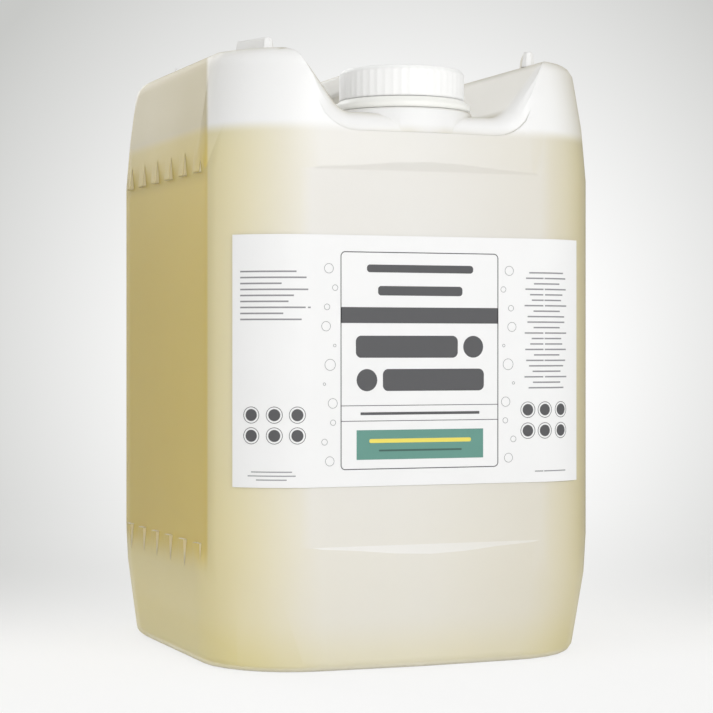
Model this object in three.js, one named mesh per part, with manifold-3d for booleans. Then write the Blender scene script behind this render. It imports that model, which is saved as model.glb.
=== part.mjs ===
// Refill pack for liquid hand soap: a square blow-moulded container of natural polyethylene
// with a carrying handle between two humps, a screw cap with a tamper band, a foam liner,
// a wrap-round front label and the soap inside. Millimetres, +Z up, front towards -Y,
// origin at the middle of the face the container stands on.
import * as THREE from 'three';
import { mergeVertices } from 'three/addons/utils/BufferGeometryUtils.js';
import Module from 'manifold-3d';

const wasm = await Module();
wasm.setup();

// Walls and clearances
const wall = 2.0;
const seatGap = 0.3;
const weldDistance = 1e-4;

// Body: full section between the two panel edges, smaller section at the base
const bodyWidth = 253.5;
const bodyDepth = 265;
const bodyCornerRadius = 59;
const baseInsetSide = 4.75;
const baseInsetFront = 8.5;
const baseWidth = bodyWidth - 2 * baseInsetSide;
const baseDepth = bodyDepth - 2 * baseInsetFront;
const baseCornerRadius = 60;
const baseRounding = 7;
const footTaper = 2;
const faceBow = 2.5;
const shoulderInset = 4.6;
const shoulderRounding = 10;
const rampCornerGrowth = 1;
const shoulderCornerGrowth = 9;
const rearCornerGrowth = 11;
const sideFlatAngle = THREE.MathUtils.degToRad(16);

// Heights: foot below the recessed panels, the panels, the shoulder above them
const footHeight = 74;
const panelHeight = 220;
const shoulderHeight = 72;
const panelLowZ = footHeight;
const panelTopZ = panelLowZ + panelHeight;
const humpTopZ = panelTopZ + shoulderHeight;

// Recessed panels on the four faces
const sidePanelDepth = 2.3;
const sideRampLow = 24;
const sideRampTop = 32;
const frontPanelInset = 0.6;
const frontLedgeHeight = 6;

// Ribs that cross the ramps of the side panels
const ribsPerRow = 6;
const ribPitch = 30.2;
const ribWidth = 11;

// Standing rim under the base
const standWidth = 20;
const baseRecess = 3;
const baseRecessSlope = 9;
const weldWidth = 2.4;
const weldHeight = 1.2;

// Valley between the humps
const valleyDepth = 37;
const valleyFloorZ = humpTopZ - valleyDepth;
const valleyFloorHalf = 51;
const valleySlopeRun = 30;
const valleyTopHalf = valleyFloorHalf + valleySlopeRun;
const valleyFootRadius = 14;
const valleyBrowRadius = 16;
const valleyRimRadius = 12;
const valleyRimInset = 3.2;
const valleyRimStep = 0.2;

// Neck: its pedestal runs into the front wall
const neckBoreRadius = 29.5;
const neckWall = 3.7;
const neckRadius = neckBoreRadius + neckWall;
const neckHeight = 22.2;
const neckChamfer = 1;
const pedestalRadius = 42.5;
const pedestalRise = 3;
const pedestalTopZ = valleyFloorZ + pedestalRise;
const neckTopZ = pedestalTopZ + neckHeight;
const neckY = -(bodyDepth / 2 - pedestalRadius);
const beadHeight = 2.0;
const beadRadius = neckRadius + beadHeight;
const beadRise = 4.4;
const beadLowFlank = 1.6;
const beadTopFlank = 1;
const beadZ = pedestalTopZ + beadRise;

// Screw thread: one start, the same pitch on neck and cap
const threadPitch = 5;
const threadTurns = 1.5;
const threadHeight = 1.5;
const threadRoot = 2.2;
const threadCrest = 1.0;
const threadClearance = 0.5;
const threadLead = 1.5;
const threadBury = 0.4;
const threadRunOut = 0.05;

// Tamper band under the cap
const bandWidth = 6.2;
const bandHeight = 6.8;
const bandShoulder = 3.2;
const bandChamfer = 0.6;
const bandInnerRadius = beadRadius + seatGap;
const bandOuterRadius = bandInnerRadius + bandWidth;
const bandBottomZ = pedestalTopZ + seatGap;
const bandTopZ = bandBottomZ + bandHeight;

// Screw cap and its liner
const capTopWall = 2;
const capWall = 2.8;
const capGrips = 48;
const gripDepth = 0.7;
const capRounding = 2.4;
const linerThickness = 1.2;
const capBoreRadius = neckRadius + threadHeight + threadClearance;
const capRadius = capBoreRadius + capWall;
const capBottomZ = bandTopZ + seatGap;
const linerBottomZ = neckTopZ + seatGap;
const capInnerTopZ = linerBottomZ + linerThickness + seatGap;
const capTopZ = capInnerTopZ + capTopWall;
const threadStartZ = capBottomZ + threadRoot / 2 + threadLead;

// Handle on the centre line, clear of the tamper band
const handleWidth = 18.8;
const handleThickness = 13.6;
const handlePost = 15;
const handleNeckGap = 5.3;
const handleRearGap = 19.5;
const handleFrontY = neckY + bandOuterRadius + handleNeckGap;
const handleRearY = bodyDepth / 2 - handleRearGap;
const handleEdge = 3.2;
const handleCorner = 11;

// Hand recess in the valley floor, between the handle's posts
const recessDepth = 14;
const recessSideGap = 7;
const recessPostGap = 3;
const recessHalfWidth = valleyFloorHalf - recessSideGap;
const recessHalfLength = (handleRearY - handleFrontY) / 2 - handlePost - recessPostGap;

// Stacking lugs on the humps
const lugFromSide = 36.4;
const lugFromFront = 54.7;
const lugLength = 31;
const lugWidth = 8;
const lugHeight = 8.4;
const lugDraft = 1.6;
const lugCornerShare = 0.6;
const lugShoulderShare = 0.75;
const lugTurn = THREE.MathUtils.degToRad(22);
const lugX = bodyWidth / 2 - lugFromSide;
const lugY = bodyDepth / 2 - lugFromFront;

// Label on the front panel
const labelRise = 35;
const labelHeight = 146.6;
const labelLowZ = panelLowZ + labelRise;
const labelThickness = 0.35;
const labelLeftAngle = THREE.MathUtils.degToRad(52);
const labelRightAngle = THREE.MathUtils.degToRad(36);

// Soap level, below the valley floor
const headSpace = 6.2;
const soapLevelZ = valleyFloorZ - wall - headSpace;

// Steps of the curved surfaces
const cornerSteps = 7;
const bowSteps = 6;
const roundingSteps = 4;
const roundSegments = 48;
const bowlSegments = 28;
const bowlRings = 16;
const threadSteps = 24;
const threadFadeSteps = 2;
const overrun = 1;
const margin = 4;

const quarter = Math.PI / 2;

// Solids and meshes

function solidOf(geometry) {
  const bare = geometry.clone();
  bare.deleteAttribute('normal');
  bare.deleteAttribute('uv');
  const merged = mergeVertices(bare, weldDistance);
  const vertProperties = Float32Array.from(merged.attributes.position.array);
  const triVerts = Uint32Array.from(merged.index.array);
  return new wasm.Manifold(new wasm.Mesh({ numProp: 3, vertProperties, triVerts }));
}

function meshOf(name, solid, material) {
  const { vertProperties, triVerts, numProp } = solid.getMesh();
  const positions = new Float32Array((vertProperties.length / numProp) * 3);
  for (let i = 0; i < positions.length / 3; i += 1) {
    for (let k = 0; k < 3; k += 1) positions[i * 3 + k] = vertProperties[i * numProp + k];
  }
  const geometry = new THREE.BufferGeometry();
  geometry.setAttribute('position', new THREE.BufferAttribute(positions, 3));
  geometry.setIndex(new THREE.BufferAttribute(Uint32Array.from(triVerts), 1));
  geometry.computeVertexNormals();
  const mesh = new THREE.Mesh(geometry, material);
  mesh.name = name;
  return mesh;
}

// Skin over closed rings of equal point counts, with a fan at each end
function loft(rings) {
  const count = rings[0].length;
  const points = rings.flat();
  const index = [];
  for (let r = 0; r < rings.length - 1; r += 1) {
    for (let i = 0; i < count; i += 1) {
      const a = r * count + i;
      const b = r * count + ((i + 1) % count);
      index.push(a, b, b + count, a, b + count, a + count);
    }
  }
  for (const [ring, flip] of [[0, true], [rings.length - 1, false]]) {
    const centre = points.length;
    const sum = rings[ring].reduce((total, p) => total.add(p), new THREE.Vector3());
    points.push(sum.divideScalar(count));
    for (let i = 0; i < count; i += 1) {
      const a = ring * count + i;
      const b = ring * count + ((i + 1) % count);
      index.push(centre, flip ? b : a, flip ? a : b);
    }
  }
  if (signedVolume(points, index) < 0) index.reverse();
  const geometry = new THREE.BufferGeometry().setFromPoints(points);
  geometry.setIndex(index);
  return geometry;
}

function signedVolume(points, index) {
  const cross = new THREE.Vector3();
  let volume = 0;
  for (let i = 0; i < index.length; i += 3) {
    cross.crossVectors(points[index[i + 1]], points[index[i + 2]]);
    volume += points[index[i]].dot(cross) / 6;
  }
  return volume;
}

function box(x0, x1, y0, y1, z0, z1) {
  const geometry = new THREE.BoxGeometry(x1 - x0, y1 - y0, z1 - z0);
  return geometry.translate((x0 + x1) / 2, (y0 + y1) / 2, (z0 + z1) / 2);
}

// Revolve round the neck axis of a closed profile of [radius, height] pairs
function neckLathe(profile) {
  const points = profile.map(([radius, height]) => new THREE.Vector2(radius, height));
  points.push(points[0].clone());
  return new THREE.LatheGeometry(points, roundSegments).rotateX(quarter).translate(0, neckY, 0);
}

// Prism of a (y, z) polygon along X, or of an (x, z) polygon along Y
function prismAlongX(polygon, halfLength) {
  return loft([-halfLength, halfLength].map((x) => polygon.map(([y, z]) => new THREE.Vector3(x, y, z))));
}

function prismAlongY(polygon, halfLength) {
  return loft([-halfLength, halfLength].map((y) => polygon.map(([x, z]) => new THREE.Vector3(x, y, z))));
}

// Body

// Ring round a rounded rectangle. Front and back bulge by bow, the arcs stop short of the sides
// by sideFlat and the rear corners have their own radius.
function bodyRing({ halfWidth, halfDepth, radius, rearRadius, bow, sideFlat, z }) {
  const ring = [];
  const corners = [[1, -1], [1, 1], [-1, 1], [-1, -1]];
  corners.forEach(([signX, signY], corner) => {
    const arcRadius = signY > 0 ? rearRadius : radius;
    const cornerX = halfWidth - arcRadius;
    const cornerY = halfDepth - arcRadius;
    const facesFrontOrBack = corner % 2 === 1;
    const start = -quarter + quarter * corner + (facesFrontOrBack ? sideFlat : 0);
    for (let i = 0; i <= cornerSteps; i += 1) {
      const angle = start + ((quarter - sideFlat) * i) / cornerSteps;
      const x = signX * cornerX + arcRadius * Math.cos(angle);
      const y = signY * cornerY + arcRadius * Math.sin(angle);
      ring.push(new THREE.Vector3(x, y, z));
    }
    if (!facesFrontOrBack) return;
    for (let i = 1; i < bowSteps; i += 1) {
      const x = signX * cornerX * (1 - (2 * i) / bowSteps);
      const y = signY * (halfDepth + bow * (1 - (x / cornerX) ** 2) ** 2);
      ring.push(new THREE.Vector3(x, y, z));
    }
  });
  return ring;
}

// Sections from the base up, all moved inwards by inset
function bodySections(inset) {
  const sections = [];
  const add = (z, width, depth, radius, pullIn, sideFlat = 0, rearGrowth = 0) => sections.push({
    z,
    halfWidth: width / 2 - pullIn,
    halfDepth: depth / 2 - pullIn,
    radius: radius - pullIn,
    rearRadius: radius + rearGrowth - pullIn,
    bow: faceBow,
    sideFlat,
  });
  for (let i = 0; i <= roundingSteps; i += 1) {
    const angle = quarter * (1 - i / roundingSteps);
    const reach = baseRounding - inset;
    const pullIn = baseRounding - reach * Math.cos(angle);
    add(baseRounding - reach * Math.sin(angle), baseWidth, baseDepth, baseCornerRadius, pullIn);
  }
  add(panelLowZ - sideRampLow, bodyWidth - footTaper, bodyDepth - footTaper, bodyCornerRadius, inset);
  add(panelLowZ, bodyWidth, bodyDepth, bodyCornerRadius, inset);
  add(panelTopZ, bodyWidth, bodyDepth, bodyCornerRadius, inset);
  const rampRadius = bodyCornerRadius + rampCornerGrowth;
  const rampPullIn = inset + shoulderInset / 2;
  add(panelTopZ + sideRampTop, bodyWidth, bodyDepth, rampRadius, rampPullIn, sideFlatAngle / 2);
  const roundingZ = humpTopZ - shoulderRounding;
  for (let i = 0; i <= roundingSteps; i += 1) {
    const angle = quarter * (i / roundingSteps);
    const reach = shoulderRounding - inset;
    const pullIn = shoulderInset + shoulderRounding - reach * Math.cos(angle);
    const radius = bodyCornerRadius + shoulderCornerGrowth;
    const z = roundingZ + reach * Math.sin(angle);
    add(z, bodyWidth, bodyDepth, radius, pullIn, sideFlatAngle, rearCornerGrowth * Math.sin(angle));
  }
  return sections;
}

// Cutters that lie outside the body's skin, moved inwards by inset

function sidePanelCutter(side, inset, withRibs) {
  const floorX = bodyWidth / 2 - sidePanelDepth - inset;
  const reach = sidePanelDepth + inset + margin;
  const slopeTop = (sideRampTop * reach) / sidePanelDepth;
  const slopeLow = (sideRampLow * reach) / sidePanelDepth;
  const polygon = [
    [side * floorX, panelLowZ],
    [side * floorX, panelTopZ],
    [side * (floorX + reach), panelTopZ + slopeTop],
    [side * (floorX + reach), panelLowZ - slopeLow],
  ];
  let cutter = solidOf(prismAlongY(polygon, bodyDepth / 2));
  if (!withRibs) return cutter;
  const innerX = floorX - overrun;
  const outerX = floorX + reach + overrun;
  const [lowX, highX] = side > 0 ? [innerX, outerX] : [-outerX, -innerX];
  for (let i = 0; i < ribsPerRow; i += 1) {
    const y = (i - (ribsPerRow - 1) / 2) * ribPitch;
    const front = y - ribWidth / 2;
    const back = y + ribWidth / 2;
    const upper = box(lowX, highX, front, back, panelTopZ, panelTopZ + slopeTop + overrun);
    const lower = box(lowX, highX, front, back, panelLowZ - slopeLow - overrun, panelLowZ);
    cutter = cutter.subtract(solidOf(upper)).subtract(solidOf(lower));
  }
  return cutter;
}

function facePanelCutter(side, inset) {
  const floorY = bodyDepth / 2 - frontPanelInset - inset;
  const reach = frontPanelInset + faceBow + inset + margin;
  const ledge = (frontLedgeHeight * reach) / (faceBow + frontPanelInset);
  const polygon = [
    [side * floorY, panelLowZ],
    [side * floorY, panelTopZ],
    [side * (floorY + reach), panelTopZ + ledge],
    [side * (floorY + reach), panelLowZ - ledge],
  ];
  return solidOf(prismAlongX(polygon, bodyWidth / 2));
}

function baseCutter(inset) {
  const sectionAt = (z, pullIn) => bodyRing({
    z,
    halfWidth: baseWidth / 2 - pullIn,
    halfDepth: baseDepth / 2 - pullIn,
    radius: baseCornerRadius - pullIn,
    rearRadius: baseCornerRadius - pullIn,
    bow: 0,
    sideFlat: 0,
  });
  return solidOf(loft([
    sectionAt(-margin, standWidth - inset),
    sectionAt(0, standWidth - inset),
    sectionAt(baseRecess + inset, standWidth + baseRecessSlope - inset),
  ]));
}

// Half of the valley's section: points with the normal that points into the plastic
function valleyHalfProfile(inset) {
  const run = valleyTopHalf - valleyFloorHalf;
  const rise = humpTopZ - valleyFloorZ;
  const slope = Math.atan2(rise, run);
  const footCentre = new THREE.Vector2(
    valleyFloorHalf - valleyFootRadius * Math.tan(slope / 2),
    valleyFloorZ + valleyFootRadius,
  );
  const browCentre = new THREE.Vector2(
    valleyTopHalf + valleyBrowRadius * Math.tan(slope / 2),
    humpTopZ - valleyBrowRadius,
  );
  const points = [];
  const steps = roundingSteps;
  for (let i = 0; i <= steps; i += 1) {
    const angle = slope * (i / steps);
    const normal = new THREE.Vector2(Math.sin(angle), -Math.cos(angle));
    points.push({ at: footCentre.clone().addScaledVector(normal, valleyFootRadius + inset), normal });
  }
  for (let i = 0; i <= steps; i += 1) {
    const angle = slope * (1 - i / steps);
    const normal = new THREE.Vector2(Math.sin(angle), -Math.cos(angle));
    points.push({ at: browCentre.clone().addScaledVector(normal, inset - valleyBrowRadius), normal });
  }
  return points;
}

// Groove along Y whose section opens out towards the front and back walls
function valleyCutter(inset) {
  const half = valleyHalfProfile(inset);
  const wallY = bodyDepth / 2 - valleyRimInset - inset;
  const rim = valleyRimRadius - inset;
  const ceiling = humpTopZ + margin;
  const browFade = valleyBrowRadius;
  const sectionAt = (y, flare) => {
    const side = (sign) => half.map(({ at, normal }) => {
      const fade = THREE.MathUtils.clamp((humpTopZ - inset - at.y) / browFade, 0, 1);
      const x = at.x + normal.x * flare * fade;
      const z = at.y + normal.y * flare * fade;
      return new THREE.Vector3(sign * x, y, z);
    });
    const left = side(-1).reverse();
    const right = side(1);
    const leftTop = left[0].clone().setZ(ceiling);
    const rightTop = right[right.length - 1].clone().setZ(ceiling);
    return [leftTop, ...left, ...right, rightTop];
  };
  const stops = [];
  for (let i = 0; i <= roundingSteps; i += 1) {
    const angle = quarter * (i / roundingSteps);
    stops.push([wallY - rim * (1 - Math.cos(angle)), rim * (1 - Math.sin(angle))]);
  }
  const ledge = rim + inset;
  const sections = [[wallY + margin * 2, ledge], [wallY + valleyRimStep, ledge], ...stops];
  const front = sections.map(([y, flare]) => sectionAt(-y, flare));
  const back = sections.map(([y, flare]) => sectionAt(y, flare)).reverse();
  return solidOf(loft([...front, ...back]));
}

function handRecessCutter(inset) {
  const middleY = (handleFrontY + handleRearY) / 2;
  const bowl = new THREE.SphereGeometry(1, bowlSegments, bowlRings).rotateX(quarter);
  bowl.scale(recessHalfWidth + inset, recessHalfLength + inset, recessDepth + inset);
  bowl.translate(0, middleY, valleyFloorZ);
  const reach = recessHalfLength + margin * 2;
  const cover = box(-reach, reach, middleY - reach, middleY + reach, valleyFloorZ + inset, humpTopZ);
  return solidOf(bowl).subtract(solidOf(cover));
}

// Weld line that the closing mould leaves across the recess under the base
function baseWeld() {
  const halfLength = baseDepth / 2 - standWidth - baseRecessSlope;
  const root = weldWidth / 2;
  const tip = root / 2;
  const polygon = [
    [-root, baseRecess + overrun],
    [-root, baseRecess],
    [-tip, baseRecess - weldHeight],
    [tip, baseRecess - weldHeight],
    [root, baseRecess],
    [root, baseRecess + overrun],
  ];
  return solidOf(prismAlongY(polygon, halfLength));
}

// Body of the container, or its inside when inset is the wall
function bodyForm(inset, withRibs) {
  let form = solidOf(loft(bodySections(inset).map(bodyRing)));
  form = form.subtract(valleyCutter(inset)).subtract(baseCutter(inset)).subtract(handRecessCutter(inset));
  for (const side of [-1, 1]) {
    form = form.subtract(sidePanelCutter(side, inset, withRibs)).subtract(facePanelCutter(side, inset));
  }
  return form;
}

// Handle

// Arch seen from the side: posts at both ends and a straight grip between them
function handleSolid() {
  const low = valleyFloorZ - wall / 2;
  const inner = humpTopZ - handleThickness;
  const edge = handleEdge;
  const shape = new THREE.Shape();
  const front = handleFrontY + edge;
  const rear = handleRearY - edge;
  const top = humpTopZ - edge;
  const gapFront = handleFrontY + handlePost - edge;
  const gapRear = handleRearY - handlePost + edge;
  const under = inner + edge;
  const round = handleCorner;
  shape.moveTo(front, low);
  shape.lineTo(front, top - round);
  shape.quadraticCurveTo(front, top, front + round, top);
  shape.lineTo(rear - round, top);
  shape.quadraticCurveTo(rear, top, rear, top - round);
  shape.lineTo(rear, low);
  shape.lineTo(gapRear, low);
  shape.lineTo(gapRear, under - round);
  shape.quadraticCurveTo(gapRear, under, gapRear - round, under);
  shape.lineTo(gapFront + round, under);
  shape.quadraticCurveTo(gapFront, under, gapFront, under - round);
  shape.lineTo(gapFront, low);
  const geometry = new THREE.ExtrudeGeometry(shape, {
    depth: handleWidth - 2 * edge,
    bevelThickness: edge,
    bevelSize: edge,
    bevelSegments: 3,
    curveSegments: 4,
  });
  geometry.translate(0, 0, -(handleWidth / 2 - edge));
  const turn = new THREE.Matrix4().makeBasis(
    new THREE.Vector3(0, 1, 0),
    new THREE.Vector3(0, 0, 1),
    new THREE.Vector3(1, 0, 0),
  );
  return solidOf(geometry.applyMatrix4(turn));
}

// Lugs

function lugSolid(signX, signY) {
  const sink = wall / 2;
  const sectionAt = (z, draft) => {
    const x = lugWidth / 2 - draft;
    const y = lugLength / 2 - draft;
    const cut = x * lugCornerShare;
    const outline = [[x, y - cut], [x - cut, y], [cut - x, y], [-x, y - cut], [-x, cut - y], [cut - x, -y],
      [x - cut, -y], [x, cut - y]];
    return outline.map(([px, py]) => new THREE.Vector3(px, py, z));
  };
  const geometry = loft([
    sectionAt(humpTopZ - sink, 0),
    sectionAt(humpTopZ + lugHeight * lugShoulderShare, lugDraft / 2),
    sectionAt(humpTopZ + lugHeight, lugDraft),
  ]);
  geometry.rotateZ(signX * signY * lugTurn);
  return solidOf(geometry.translate(signX * lugX, signY * lugY, 0));
}

// Neck and thread

// Helical ridge: rootRadius carries it, outwards on the neck and inwards in the cap
function threadRidge(rootRadius, direction, startZ) {
  const steps = Math.round(threadTurns * threadSteps);
  const rings = [];
  for (let i = 0; i <= steps; i += 1) {
    const angle = (threadTurns * 2 * Math.PI * i) / steps;
    const fadeIn = Math.min(1, i / threadFadeSteps, (steps - i) / threadFadeSteps);
    const height = Math.max(threadRunOut, threadHeight * fadeIn);
    const z = startZ + (threadPitch * angle) / (2 * Math.PI);
    const crest = threadCrest / 2 + ((threadRoot - threadCrest) / 2) * (1 - fadeIn);
    const profile = [
      [-threadBury, -threadRoot / 2],
      [height, -crest],
      [height, crest],
      [-threadBury, threadRoot / 2],
    ];
    rings.push(profile.map(([out, up]) => {
      const radius = rootRadius + direction * out;
      return new THREE.Vector3(radius * Math.cos(angle), neckY + radius * Math.sin(angle), z + up);
    }));
  }
  return solidOf(loft(rings));
}

function neckSolid() {
  const foot = valleyFloorZ - valleyRimRadius;
  const profile = [
    [0, foot],
    [pedestalRadius, foot],
    [pedestalRadius, pedestalTopZ - neckChamfer],
    [pedestalRadius - neckChamfer, pedestalTopZ],
    [neckRadius, pedestalTopZ],
    [neckRadius, beadZ - beadLowFlank],
    [beadRadius, beadZ],
    [neckRadius, beadZ + beadTopFlank],
    [neckRadius, neckTopZ - neckChamfer],
    [neckRadius - neckChamfer, neckTopZ],
    [0, neckTopZ],
  ];
  return solidOf(neckLathe(profile)).add(threadRidge(neckRadius, 1, threadStartZ));
}

function neckBore() {
  const foot = valleyFloorZ - valleyRimRadius - margin;
  const mouth = neckTopZ + margin;
  return solidOf(neckLathe([[0, foot], [neckBoreRadius, foot], [neckBoreRadius, mouth], [0, mouth]]));
}

function containerShell() {
  let shell = bodyForm(0, true).add(baseWeld()).add(neckSolid()).add(handleSolid());
  for (const signX of [-1, 1]) {
    for (const signY of [-1, 1]) shell = shell.add(lugSolid(signX, signY));
  }
  return shell.subtract(bodyForm(wall, false)).subtract(neckBore());
}

// Soap

function soapFill() {
  const fill = bodyForm(wall + seatGap, false);
  const air = box(-bodyWidth, bodyWidth, -bodyDepth, bodyDepth, soapLevelZ, humpTopZ + margin);
  return fill.subtract(solidOf(air));
}

// Cap, liner and band

function capSolid() {
  const grip = new THREE.Shape();
  for (let i = 0; i < capGrips * 2; i += 1) {
    const angle = (Math.PI * i) / capGrips;
    const radius = i % 2 === 0 ? capRadius : capRadius - gripDepth;
    const point = [radius * Math.cos(angle), radius * Math.sin(angle)];
    if (i === 0) grip.moveTo(...point);
    else grip.lineTo(...point);
  }
  const gripTopZ = capTopZ - capRounding;
  const skirt = new THREE.ExtrudeGeometry(grip, { depth: gripTopZ - capBottomZ, bevelEnabled: false });
  skirt.translate(0, neckY, capBottomZ);
  const crownRadius = capRadius - gripDepth;
  const crown = [[0, capBottomZ], [crownRadius, capBottomZ], [crownRadius, gripTopZ]];
  for (let i = 1; i <= roundingSteps; i += 1) {
    const angle = quarter * (i / roundingSteps);
    const radius = crownRadius - capRounding * (1 - Math.cos(angle));
    crown.push([radius, gripTopZ + capRounding * Math.sin(angle)]);
  }
  crown.push([0, capTopZ]);
  const bore = [
    [0, capBottomZ - margin],
    [capBoreRadius, capBottomZ - margin],
    [capBoreRadius, capInnerTopZ],
    [0, capInnerTopZ],
  ];
  const ridgeZ = threadStartZ + threadPitch / 2;
  return solidOf(skirt)
    .add(solidOf(neckLathe(crown)))
    .subtract(solidOf(neckLathe(bore)))
    .add(threadRidge(capBoreRadius, -1, ridgeZ));
}

function linerSolid() {
  const radius = capBoreRadius - seatGap;
  const top = linerBottomZ + linerThickness;
  return solidOf(neckLathe([[0, linerBottomZ], [radius, linerBottomZ], [radius, top], [0, top]]));
}

function bandSolid() {
  return solidOf(neckLathe([
    [bandInnerRadius, bandBottomZ],
    [bandOuterRadius - bandChamfer, bandBottomZ],
    [bandOuterRadius, bandBottomZ + bandChamfer],
    [bandOuterRadius, bandTopZ - bandShoulder],
    [capRadius, bandTopZ],
    [bandInnerRadius, bandTopZ],
  ]));
}

// Label: a strip that follows the front panel and turns round both front corners
function labelSolid() {
  const radius = bodyCornerRadius;
  const cornerX = bodyWidth / 2 - radius;
  const cornerY = bodyDepth / 2 - radius;
  const panelY = bodyDepth / 2 - frontPanelInset;
  const meetAngle = Math.acos((panelY - cornerY) / radius);
  const line = (offset) => {
    const points = [];
    const reach = radius + offset;
    const arc = (sign, from, to) => {
      for (let i = 0; i <= cornerSteps; i += 1) {
        const angle = from + ((to - from) * i) / cornerSteps;
        points.push([sign * (cornerX + reach * Math.sin(angle)), -(cornerY + reach * Math.cos(angle))]);
      }
    };
    arc(-1, labelLeftAngle, meetAngle);
    arc(1, meetAngle, labelRightAngle);
    return points;
  };
  const inner = line(seatGap);
  const outer = line(seatGap + labelThickness).reverse();
  const shape = new THREE.Shape([...inner, ...outer].map(([x, y]) => new THREE.Vector2(x, y)));
  const sheet = new THREE.ExtrudeGeometry(shape, { depth: labelHeight, bevelEnabled: false });
  return solidOf(sheet.translate(0, 0, labelLowZ));
}

// Materials

function plastic(color, roughness, opacity = 1) {
  const transparent = opacity < 1;
  return new THREE.MeshStandardMaterial({ color, roughness, metalness: 0, opacity, transparent });
}

const naturalPlastic = plastic(0xe9e6d6, 0.42, 0.6);
const whitePlastic = plastic(0xf2f2ee, 0.4);
const bandPlastic = plastic(0xf0efe6, 0.4);
const foam = plastic(0xf6f6f4, 0.8);
const paper = plastic(0xf4f4f2, 0.55);
const soap = plastic(0xd9c58c, 0.2, 0.85);

const pack = new THREE.Group();
pack.add(meshOf('container_shell', containerShell(), naturalPlastic));
pack.add(meshOf('hand_soap', soapFill(), soap));
pack.add(meshOf('screw_cap', capSolid(), whitePlastic));
pack.add(meshOf('cap_liner', linerSolid(), foam));
pack.add(meshOf('tamper_band', bandSolid(), bandPlastic));
pack.add(meshOf('front_label', labelSolid(), paper));

export default pack;
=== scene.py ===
import math

import bmesh
import bpy
from mathutils import Matrix, Vector


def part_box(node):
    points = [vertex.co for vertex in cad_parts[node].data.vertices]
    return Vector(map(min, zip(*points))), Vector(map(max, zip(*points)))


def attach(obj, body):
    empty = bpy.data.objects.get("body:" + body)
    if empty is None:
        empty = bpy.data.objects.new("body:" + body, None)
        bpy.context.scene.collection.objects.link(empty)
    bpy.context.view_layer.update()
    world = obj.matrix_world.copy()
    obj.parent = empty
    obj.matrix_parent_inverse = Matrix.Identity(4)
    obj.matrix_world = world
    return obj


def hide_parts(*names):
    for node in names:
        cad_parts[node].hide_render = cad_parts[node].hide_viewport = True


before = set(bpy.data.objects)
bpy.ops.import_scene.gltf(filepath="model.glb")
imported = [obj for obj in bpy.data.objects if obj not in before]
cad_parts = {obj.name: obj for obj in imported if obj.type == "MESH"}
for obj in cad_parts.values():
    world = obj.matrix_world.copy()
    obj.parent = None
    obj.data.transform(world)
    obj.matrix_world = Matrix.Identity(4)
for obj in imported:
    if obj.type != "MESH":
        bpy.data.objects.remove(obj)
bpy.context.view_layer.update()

bl_info = {
    "name": "Hand soap refill pack",
    "version": (1, 0, 0),
    "blender": (4, 5, 0),
    "location": "View3D > Sidebar > Refill pack",
    "description": "Dresses the refill container, its soap, cap and label, and sets the studio round them",
    "category": "Object",
}

label_low, label_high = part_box("front_label")
liner_low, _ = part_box("cap_liner")
_, soap_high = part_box("hand_soap")

MM = 0.001

# Meshes: faces closer to flat than FLAT_ANGLE are joined, edges sharper than a crease angle stay hard
WELD_DISTANCE = 2e-5
FLAT_ANGLE = math.radians(0.6)
CREASE_ANGLE = math.radians(28)
PANEL_CREASE_ANGLE = math.radians(9)
FLAT_FIELD_AREA = 0.0015
SQUARE_ON = 0.9999
NEARLY_SIDEWAYS = 0.98
CAVITY_FLOOR_TOP = 0.03
FACING_UP = 0.9

# Heights of the lower and upper end of the recessed panels
PANEL_LOW = 0.074
PANEL_TOP = 0.294

# A place is on a flat side where |x| * SLANT_X + |y| * SLANT_Y passes the step "flat_side"
SLANT_X = 0.957
SLANT_Y = -0.298

# Soft steps in the wall's colour: start and end, then the value before and after where it isn't 0 and 1
WALL_STEPS = {
    "flat_side": (0.0905, 0.0925),
    "above_foot": (PANEL_LOW - 0.02, PANEL_LOW),
    "low_wall": (-0.1, 0.25, 0.14, 0.0),
    "base_edge": (0.0, 0.035, 0.3, 0.0),
    "rib_flank": (0.3, 0.9, 0.45, 1.0),
    "ledge": (0.05, 0.3, 0.0, 0.6),
    "top_fillet": (0.1, 0.4),
    "filled": (soap_high.z - 0.006, soap_high.z + 0.002, 1.0, 0.0),
    "right_half": (-0.02, 0.125),
    "far_right": (0.08, 0.125),
    "rear_half": (-0.1, 0.1),
    "panel_ramp": (PANEL_TOP - 0.008, PANEL_TOP, 0.0, 0.14),
    "foot_rim": (0.03, 0.09, 0.35, 1.0),
}
# Faces turned sideways take the lighter, yellower corner colour: painted glow over the soap's own tint
TURN_CURVE = 1.15
TURN_TINT_AND_GLOW = 0.85
# The wall darkens towards its outline as seen: partly the longer path through the soap, partly painted
# shade, most at the far right
RIM_CURVE = 2.5
RIM_OVER_AIR = 0.62
RIM_OVER_SOAP = 0.85
RIM_FAR_RIGHT = 1.7
FOAM_COLOUR = (0.9, 0.9, 0.89)

# What the camera sees of floor and backdrop, as shares of the distance unless a step is in metres
FLOOR_FADE = (0.2, 1.3)
GLOW_CORE = 0.4
FLOOR_SHADE = (-0.15, -0.1, 0.08, 1.0)

# Backdrop: radius, radius of its upward sweep and height
BACKDROP_RADIUS = 4.0
BACKDROP_SWEEP = 1.6
BACKDROP_TOP = 3.2

# Softboxes: name, place, width and height, all aimed at one point
SOFTBOXES = (
    ("key", (0.15, -2.6, 1.3), 1.6, 1.2),
    ("back", (-0.6, 2.0, 1.2), 1.6, 1.4),
)
LIGHT_AIM = Vector((0, 0, 0.2))

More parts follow.
